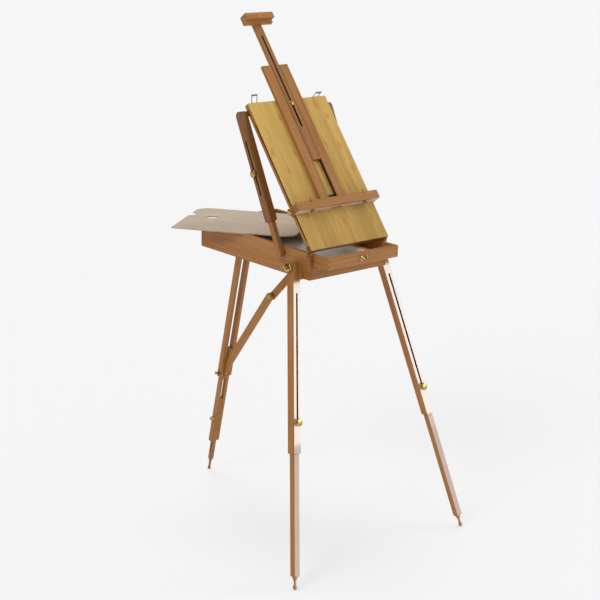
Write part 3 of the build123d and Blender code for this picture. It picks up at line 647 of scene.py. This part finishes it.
DOME_NUT = chaikin([(0, -11), (2.4, -11), (2.4, 0.2), (7.2, 0.2), (7.5, 0.9), (6.2, 1.4), (5.2, 1.6),
                    (5.0, 3.2), (3.4, 4.6), (0, 5.2)])
shell("mast_dome_nut", [turned(DOME_NUT, on_lid(0, 511, MAST_FRONT + 0.4), OFF_LID)], BRASS, "tray",
      replaced=["mast_bolt"])


def thumb_profile(radius, reach, stem=2.2, height=12.0):
    """A clamping screw: stem, washer, waist and a milled mushroom head, as (radius, height) pairs."""
    return chaikin([(0, -reach), (stem - 0.3, -reach), (stem, -reach + 0.8), (stem, 0.0),
                    (radius * 0.72, 0.0), (radius * 0.74, 1.3), (radius * 0.50, 1.9),
                    (radius * 0.46, height * 0.30),
                    (radius * 0.92, height * 0.42), (radius, height * 0.50), (radius, height * 0.74),
                    (radius * 0.90, height * 0.88), (radius * 0.45, height * 0.97), (0, height)])


def thumb(name, face, axis, radius, reach, body, node):
    """A brass thumb screw with its head on `face`, in place of the plain one."""
    head = turned(thumb_profile(radius, reach), face, axis, 90, 30, 0.035, (4.8, 9.6))
    return shell(name, [head], BRASS, body, replaced=[node])


for word, side in (("left", -1), ("right", 1)):
    thumb(f"tray_thumb_{word}", on_lid(side * 174.4, 141.5, 12.5), (side, 0, 0), 10.5, 15.5,
          f"tray_knob_{word}", f"tray_knob_{word}")


def paddle(centre, along, flat, size):
    """A wing: an ellipsoid flattened across, of half-sizes (length, breadth, thickness) in mm."""
    along, flat = np.array(along, float), np.array(flat, float)
    broad = np.cross(along, flat)
    down = np.linspace(0, np.pi, 15)[:, None, None]
    turn = np.linspace(0, 2 * np.pi, 24, endpoint=False)[:, None]
    length, breadth, thick = (half * MM for half in size)
    return (np.array(centre) + length * np.cos(down) * along
            + breadth * np.sin(down) ** 0.7 * np.cos(turn) * broad
            + thick * np.sin(down) * np.sin(turn) * flat)


def wing_screw(name, face, axis, spread, body, node, reach, hub=4.6, wing=8.0):
    """A wing screw or nut: a turned hub on a stem, and two wings that lean outwards."""
    axis, spread = np.array(axis, float), np.array(spread, float)
    flat = np.cross(axis, spread)
    profile = chaikin([(0, -reach), (2.0, -reach), (2.0, 0), (hub + 0.6, 0), (hub + 0.8, 1.2),
                       (hub * 0.8, 2.4), (hub * 0.72, 7.5), (hub * 0.5, 9.4), (0, 9.8)])
    grids = [turned(profile, face, axis)]
    for way in (-1, 1):
        lean = axis * 0.55 + spread * way * 0.835
        lean /= np.linalg.norm(lean)
        root = np.array(face) + (axis * 6.2 + spread * way * 6.4) * MM
        grids.append(paddle(root, lean, flat, (wing * 0.72, 3.6, 1.1)))
    return shell(name, grids, AGED, body, replaced=[node])


for word, side in (("left", -1), ("right", 1)):
    wing_screw(f"tray_wings_{word}", on_lid(side * 113, 126.6, 40.5), -UP_LID, (1, 0, 0),
               f"tray_wing_{word}", f"tray_wing_{word}", 13.5)
screws("tray_clip_screws", [(on_lid(side * 113, 152, 51.6), tuple(OFF_LID)) for side in (-1, 1)], "tray", 1.6)

# ---- lid struts -----------------------------------------------------------------------------
# Beech telescoping struts, one each side: a slotted sleeve pinned to the lid and an inner bar pinned
# to the box, clamped by a thumb screw through the slot.
STRUT_TOP, STRUT_DOWN = np.array((0, 0.06775, 1.39727)), np.array((0, -0.44305, -0.89647))
for word, side, seed in (("left", -1, 31.7), ("right", 1, 33.4)):
    square = np.cross(STRUT_DOWN, (1, 0, 0))
    # The sleeve's hollow is painted black as shade, and both parts are toned darker, the sleeve most, as
    # painted shade from the lid.
    hollow = (STRUT_TOP + (side * 0.18265, 0, 0), [((1, 0, 0), 0.0130), (square, 0.0105)])
    for part, tone, inside in (("outer", 0.62, [hollow]), ("inner", 0.85, ())):
        grain = timber(f"strut {part} {word} beech", tuple(STRUT_DOWN), seed + tone, tone, bores=inside)
        eased(f"strut_{part}_{word}", grain, 0.8)
    face = STRUT_TOP + STRUT_DOWN * 0.192 + np.array((side * 0.1964, 0, 0))
    thumb(f"strut_thumb_{word}", face, (side, 0, 0), 12.5, 13.6, f"strut_knob_{word}", f"strut_knob_{word}")

# ---- front legs -----------------------------------------------------------------------------
# Each is a hollow sleeve of four glued beech strips, heavily lacquered on its front face, with a slot
# for the clamping screw of the square extension; the extension ends in a turned foot.
LEG_UP, LEG_IN = np.array((0.189037, 0.259050, 0.947184)), np.array((-0.050701, 0.965864, -0.254040))
for word, hand, seed in (("left", 1, 41.2), ("right", -1, 43.9)):
    mirror = np.array((hand, 1, 1))
    grain, inward = tuple(LEG_UP * mirror), LEG_IN * mirror
    wide, middle = np.array(LEG_AXIS) * (1, 1, hand), np.array(LEG_PIVOT) * mirror
    # The cavity and the slot are painted black as shade; the front faces below the box are painted pale as a
    # reflection of the softbox.
    cavity = (middle - np.array(grain) * 0.332, [(wide, 0.0105), (inward, 0.0146), (grain, 0.262)])
    slot = (middle - np.array(grain) * 0.286, [(wide, 0.0034), (inward, 0.0165), (grain, 0.206)])
    front = tuple(-inward)
    sleeve = timber(f"{word} sleeve beech", grain, seed, gloss_way=front, bores=[cavity, slot],
                    painted_sheen_way=front)
    eased(f"{word}_leg_sleeve", sleeve, 0.5)
    bar = timber(f"{word} extension beech", grain, seed + 1.1, 0.97, gloss_way=front, gloss=0.2,
                 painted_sheen_way=front)
    eased(f"{word}_leg_extension", bar, 0.6)
    face = (np.array(LEG_PIVOT) - LEG_UP * 0.485) * mirror - inward * 0.0154
    thumb(f"{word}_leg_thumb", face, front, 12.5, 14.6, f"{word}_leg_knob", f"{word}_leg_knob")

# ---- rear leg -------------------------------------------------------------------------------
# Two beech rails on a pin under the box, bolted to a grooved lower section with a wing nut, and a
# slotted extension with a turned foot, clamped by a small thumb screw.
REAR_PIN, REAR_DOWN = np.array((0, 0.2694, 0.904)), np.array((0, 0.21387, -0.97686))
for name, seed, tone in (("rear_leg_rails", 51.1, 0.97), ("rear_leg_lower", 52.6, 0.94),
                         ("rear_leg_extension", 53.8, 0.9)):
    eased(name, timber(f"{name} beech", tuple(REAR_DOWN), seed, tone), 0.7)
wing_screw("rear_wings", REAR_PIN + REAR_DOWN * 0.505 + np.array((-0.026, 0, 0)), (-1, 0, 0), (0, 0.98, 0.2),
           "rear_wing", "rear_wing_nut", 0.4, hub=6.4, wing=10.0)
thumb("rear_thumb", REAR_PIN + REAR_DOWN * 0.700 + np.array((-0.0189, 0, 0)), (-1, 0, 0), 8.5, 39.0,
      "rear_knob", "rear_clamp_knob")

# ---- stay under the box ---------------------------------------------------------------------
# A two-piece beech stay between the rear leg and the box, riveted at its knee so that it folds flat.
for name, along, seed in (("brace_lower", (0, -0.595, 0.804), 61.4),
                          ("brace_upper", (0, 0.706, -0.708), 62.9)):
    eased(name, timber(f"{name} beech", along, seed), 0.8)

# ---- floor, light and camera ----------------------------------------------------------------
# A pale floor, half of its brightness its own so that shadows stay faint, an even sky, three wide
# suns, and a tall softbox in front on the right that shows only in reflections, as on the legs.
bpy.ops.mesh.primitive_plane_add(size=160, location=(0, 0, -0.0005))
floor = bpy.context.object
floor.name = "studio_floor"
paper = bpy.data.materials.new("studio paper")
paper.use_nodes = True
surface = paper.node_tree.nodes["Principled BSDF"].inputs
surface["Base Color"].default_value = (0.40, 0.40, 0.40, 1)
surface["Emission Color"].default_value = (1, 1, 1, 1)
surface["Emission Strength"].default_value = 0.52
surface["Roughness"].default_value = 0.9
surface["Specular IOR Level"].default_value = 0.0
floor.data.materials.append(paper)

world = bpy.data.worlds.new("studio")
bpy.context.scene.world = world
world.use_nodes = True
sky = world.node_tree
ray = wire(sky, "ShaderNodeLightPath").outputs
way = wire(sky, "ShaderNodeTexCoord").outputs["Generated"]
overhead = ramped(sky, wire(sky, "ShaderNodeSeparateXYZ", {"Vector": way}).outputs[2], 0.30, 0.80, 0.05, 0.70)
FOR_SURFACES, FOR_CAMERA = 0.48, 0.93
lit = wire(sky, "ShaderNodeMix", {"Factor": ray["Is Glossy Ray"], "A": FOR_SURFACES, "B": overhead},
           data_type="FLOAT")
lit = wire(sky, "ShaderNodeMix", {"Factor": ray["Is Camera Ray"], "A": lit.outputs[0], "B": FOR_CAMERA},
           data_type="FLOAT")
sky.links.new(lit.outputs[0], sky.nodes["Background"].inputs["Strength"])
sky.nodes["Background"].inputs["Color"].default_value = (1, 1, 1, 1)


def aim(thing, place, target):
    """Turns a light at `place` to face `target`."""
    way = Vector(target) - Vector(place)
    thing.matrix_world = Matrix.Translation(place) @ way.to_track_quat("-Z", "Y").to_matrix().to_4x4()


for name, place, energy in (("key", (0.80, -0.52, 0.40), 1.0), ("fill", (-0.78, -0.12, 0.62), 1.05),
                            ("top", (0.10, 0.25, 0.96), 0.65)):
    sun = bpy.data.lights.new(name, "SUN")
    sun.energy, sun.angle = energy, 0.5
    lamp = bpy.data.objects.new(name, sun)
    bpy.context.scene.collection.objects.link(lamp)
    aim(lamp, place, (0, 0, 0))
softbox = bpy.data.lights.new("tall softbox", "AREA")
softbox.shape, softbox.size, softbox.size_y, softbox.energy = "RECTANGLE", 2.6, 1.9, 42
lamp = bpy.data.objects.new("tall softbox", softbox)
bpy.context.scene.collection.objects.link(lamp)
aim(lamp, (2.65, -3.35, 1.38), (0.0, -0.2, 0.95))
lamp.visible_diffuse = False

camera = bpy.data.cameras.new("camera")
camera.sensor_width, camera.lens = 36.0, 86.78
eye = bpy.data.objects.new("camera", camera)
bpy.context.scene.collection.objects.link(eye)
yaw, pitch, roll = 0.7208, -0.2820, 0.024
look = Vector((np.sin(yaw) * np.cos(pitch), np.cos(yaw) * np.cos(pitch), np.sin(pitch)))
right = look.cross(Vector((0, 0, 1))).normalized()
above = right.cross(look)
across, upward = right * np.cos(roll) + above * np.sin(roll), above * np.cos(roll) - right * np.sin(roll)
eye.matrix_world = Matrix(((across.x, upward.x, -look.x, -3.07744), (across.y, upward.y, -look.y, -3.53030),
                           (across.z, upward.z, -look.z, 2.12562), (0, 0, 0, 1)))
bpy.context.scene.camera = eye
bpy.context.scene.view_settings.view_transform = "Standard"
